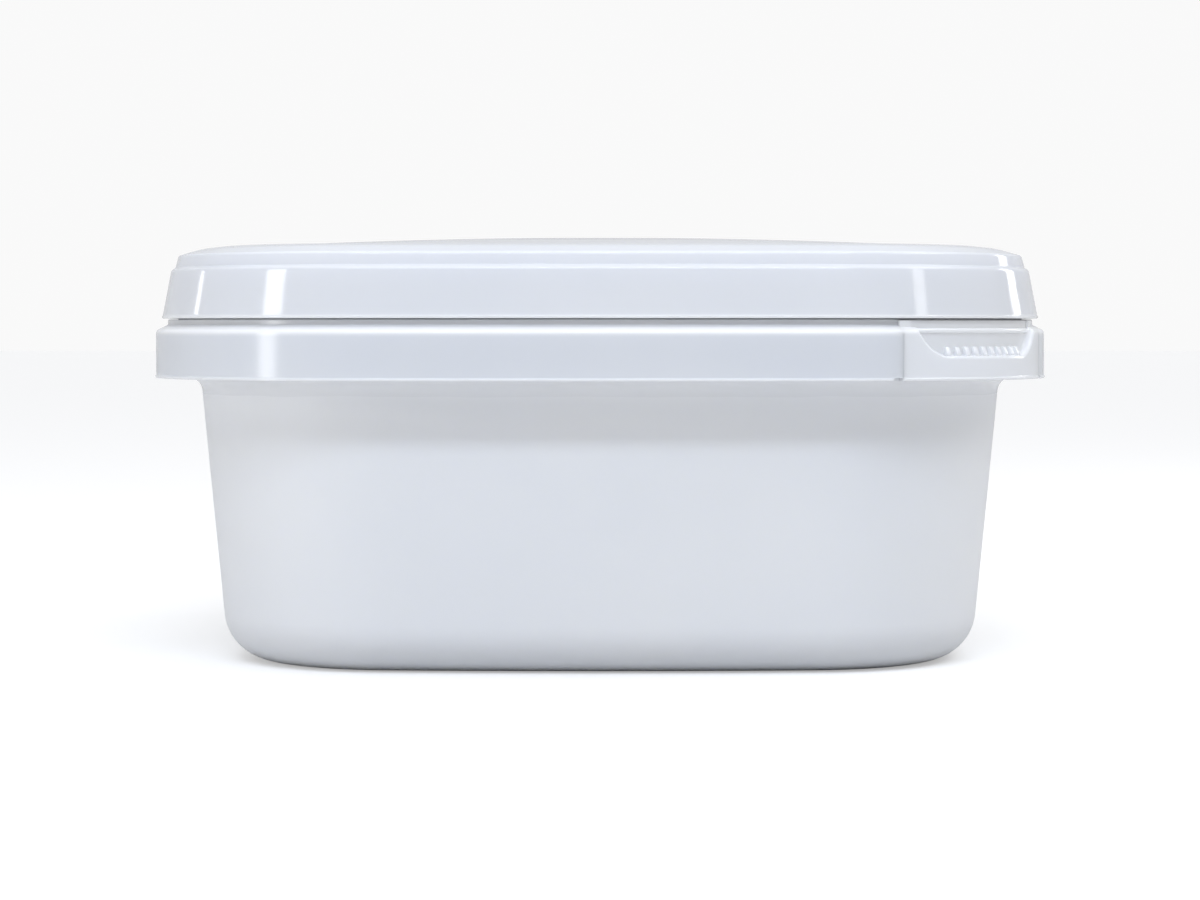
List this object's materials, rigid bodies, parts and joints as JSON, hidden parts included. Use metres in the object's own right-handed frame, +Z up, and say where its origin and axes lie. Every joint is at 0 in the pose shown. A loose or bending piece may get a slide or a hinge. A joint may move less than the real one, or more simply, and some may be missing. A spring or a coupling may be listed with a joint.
{
  "type": "square storage container",
  "caption": "Square white plastic food tub with rounded corners, a push-on lid with a softly domed top and a break-off corner tab in the flange; shut.",
  "frame": {"origin": "middle of the square plan, on the plane that the foot ring stands on", "axes": "+Z up, +X to the right and -Y towards the viewer, with the break-off tab at the +X, -Y corner"},
  "size_m": [0.15, 0.15, 0.0707],
  "materials": {
    "tub": "satin white injection-moulded polypropylene",
    "lid": "glossy white injection-moulded polypropylene",
    "tear_tab": "glossy white injection-moulded polypropylene"
  },
  "bodies": {
    "root": {"tub": "tub", "lid": "lid", "tear_tab": "tear_tab"}
  },
  "joints": []
}
